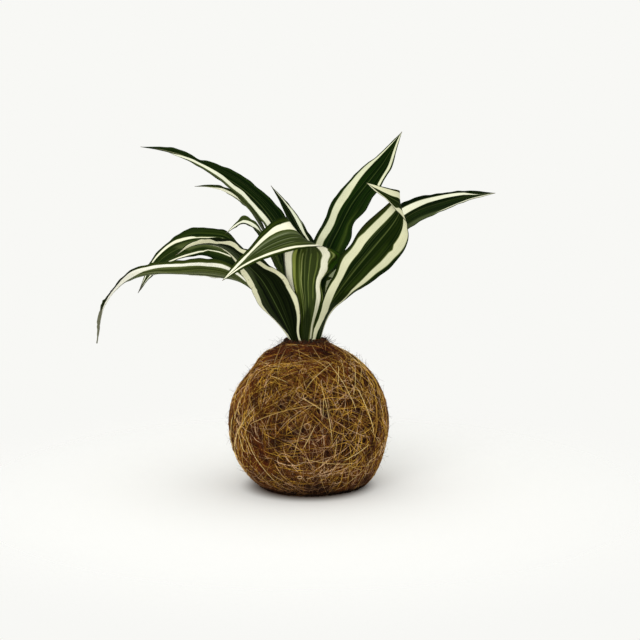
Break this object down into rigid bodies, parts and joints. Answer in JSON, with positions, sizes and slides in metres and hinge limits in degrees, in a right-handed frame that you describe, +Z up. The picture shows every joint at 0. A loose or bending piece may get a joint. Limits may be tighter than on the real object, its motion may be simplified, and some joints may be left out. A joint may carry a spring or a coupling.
{
  "type": "kokedama house plant",
  "caption": "House plant with arching, cream-striped strap leaves, growing from a round root ball wound in brown coir fibre that stands on a small flat spot.",
  "frame": {"origin": "centre of the flat spot under the ball, on the surface that it stands on", "axes": "+Z up through the ball to the leaves, +X along the leaves' longest spread, to the right as seen from the front, which faces -Y"},
  "size_m": [0.2737, 0.1265, 0.2445],
  "materials": {
    "coir": "dry, rough wound fibre, golden brown over dark red-brown",
    "soil": "moist, crumbly and matt",
    "cane": "matt, ringed by old leaf scars",
    "young_leaf": "satin, pale green with cream streaks",
    "leaf": "satin, dark green with lengthwise cream stripes and a thin green edge, olive underneath"
  },
  "bodies": {
    "root": {"coir_wrap": "coir", "soil_ball": "soil", "stem": "cane", "leaf_rolled_young": "young_leaf", "leaf_long_left": "leaf", "leaf_slim_left": "leaf", "leaf_small_arch": "leaf", "leaf_arching_left": "leaf", "leaf_drooping_left": "leaf", "leaf_front_left": "leaf", "leaf_front_folded": "leaf", "leaf_back_upright": "leaf", "leaf_tall_right": "leaf", "leaf_broad_right": "leaf", "leaf_side_right": "leaf"}
  },
  "joints": []
}
